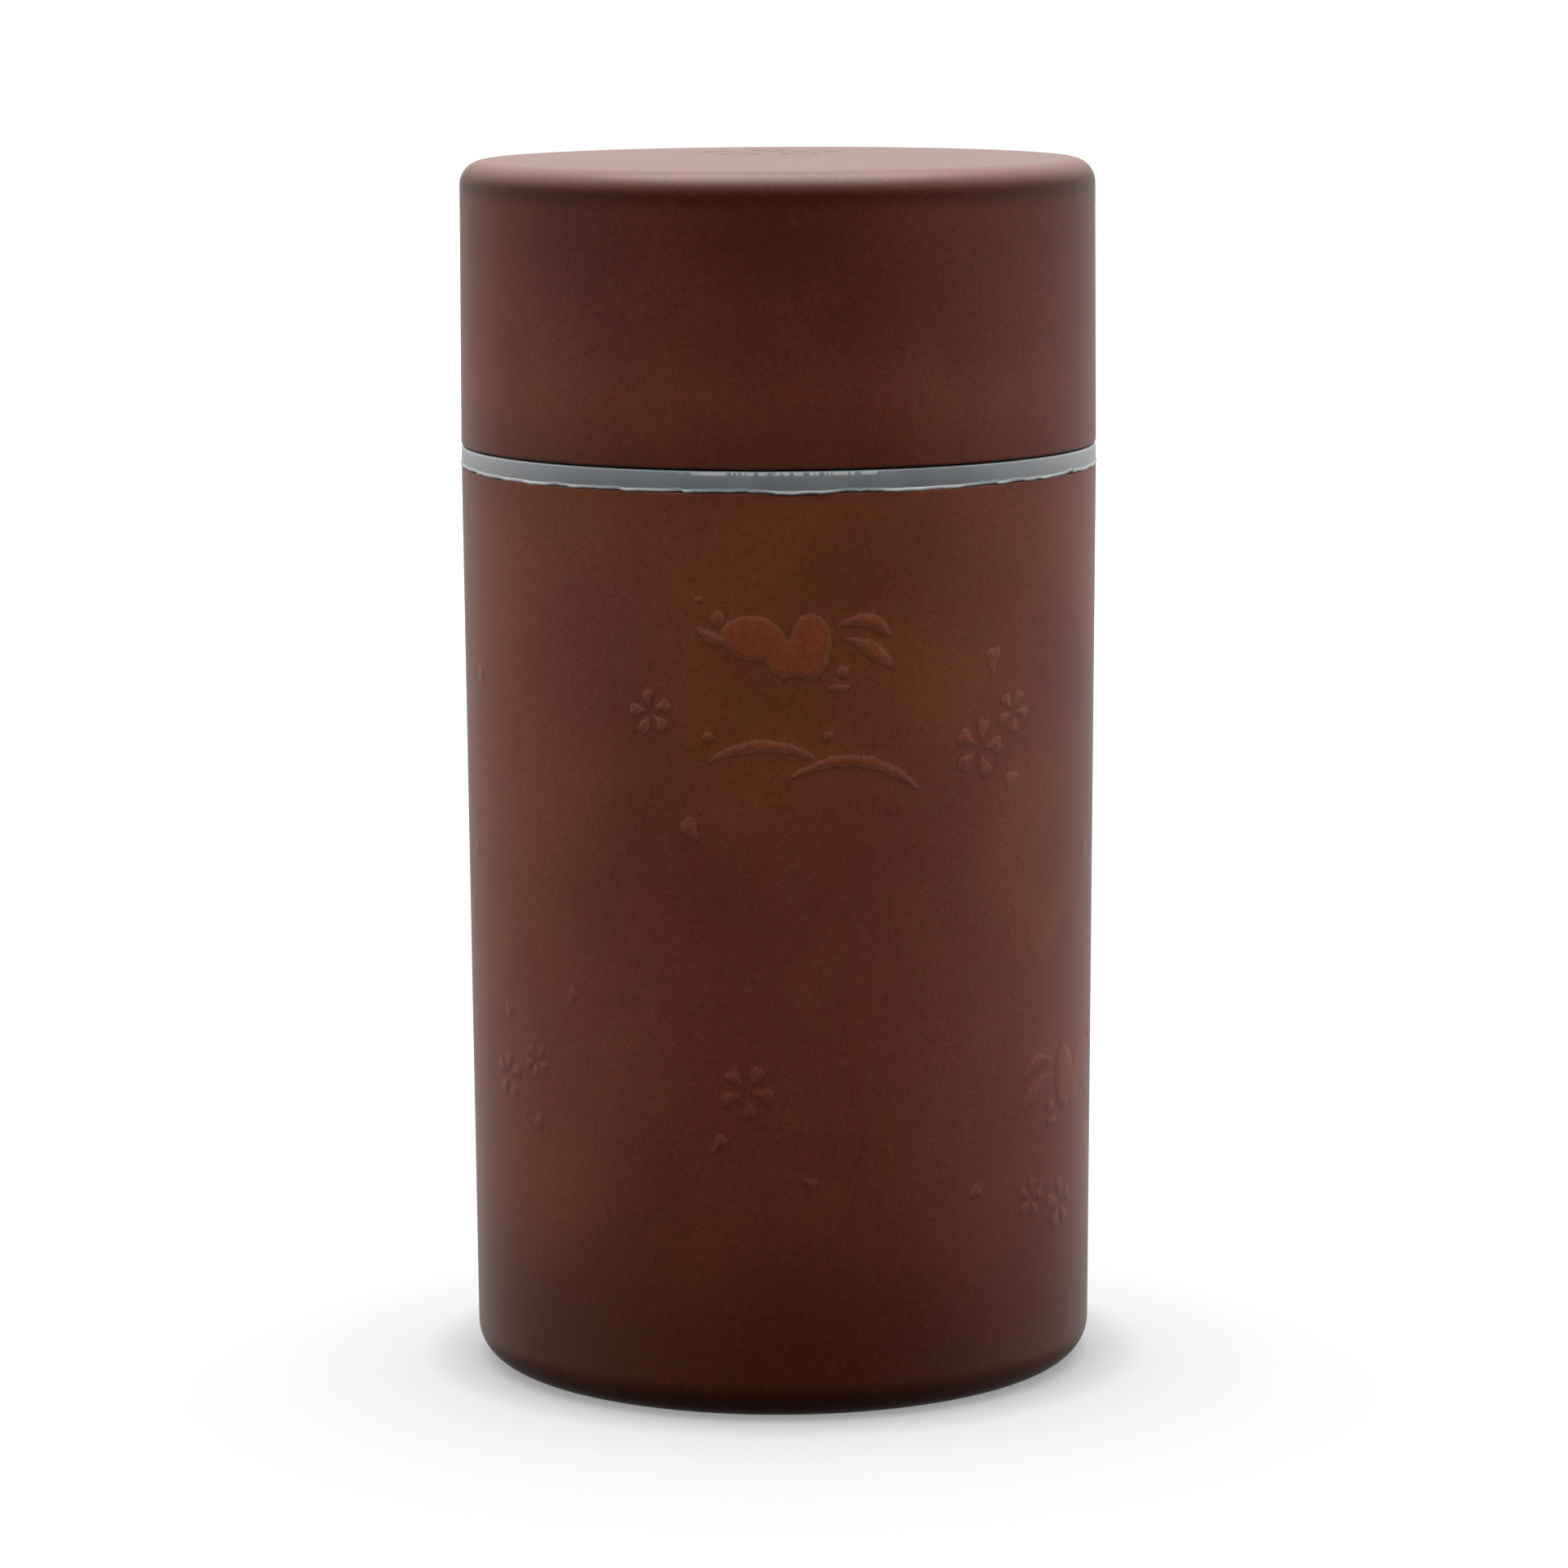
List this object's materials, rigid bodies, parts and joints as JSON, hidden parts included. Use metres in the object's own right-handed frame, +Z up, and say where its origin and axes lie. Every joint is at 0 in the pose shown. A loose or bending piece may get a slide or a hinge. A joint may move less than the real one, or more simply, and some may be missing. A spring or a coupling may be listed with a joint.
{
  "type": "tea caddy",
  "caption": "Tall straight round tea caddy: moulded body with a raised pattern, soft seal ring, inner can, plug-in stopper with a knob, and a slip-on cap.",
  "frame": {"origin": "middle of the base, on the surface the caddy stands on", "axes": "+Z up, along the caddy's axis; -Y is the side with the large leaping rabbit"},
  "size_m": [0.08, 0.08, 0.1526],
  "materials": {
    "brown_coat": "satin brown coat, softly mottled",
    "drawn_metal": "drawn, with fine lines round the axis",
    "soft_seal": "milky translucent, smooth",
    "milky_plastic": "milky, half matt",
    "screw_steel": "zinc plated"
  },
  "bodies": {
    "body": {"body_shell": "brown_coat", "inner_can": "drawn_metal", "seal_ring": "soft_seal"},
    "stopper_set": {"stopper": "milky_plastic", "stopper_gasket": "soft_seal", "stopper_knob": "brown_coat", "knob_screw": "screw_steel"},
    "cap": {"cap_shell": "brown_coat", "cap_liner": "drawn_metal"}
  },
  "joints": [
    {"name": "cap_lift", "type": "slide", "parent": "body", "child": "cap", "axis": [0, 0, 1], "range_m": [0, 0.09]},
    {"name": "stopper_lift", "type": "slide", "parent": "body", "child": "stopper_set", "axis": [0, 0, 1], "range_m": [0, 0.045]}
  ],
  "couplings": [
    {"joint": "stopper_lift", "follows": "cap_lift", "ratio": 0.5}
  ]
}
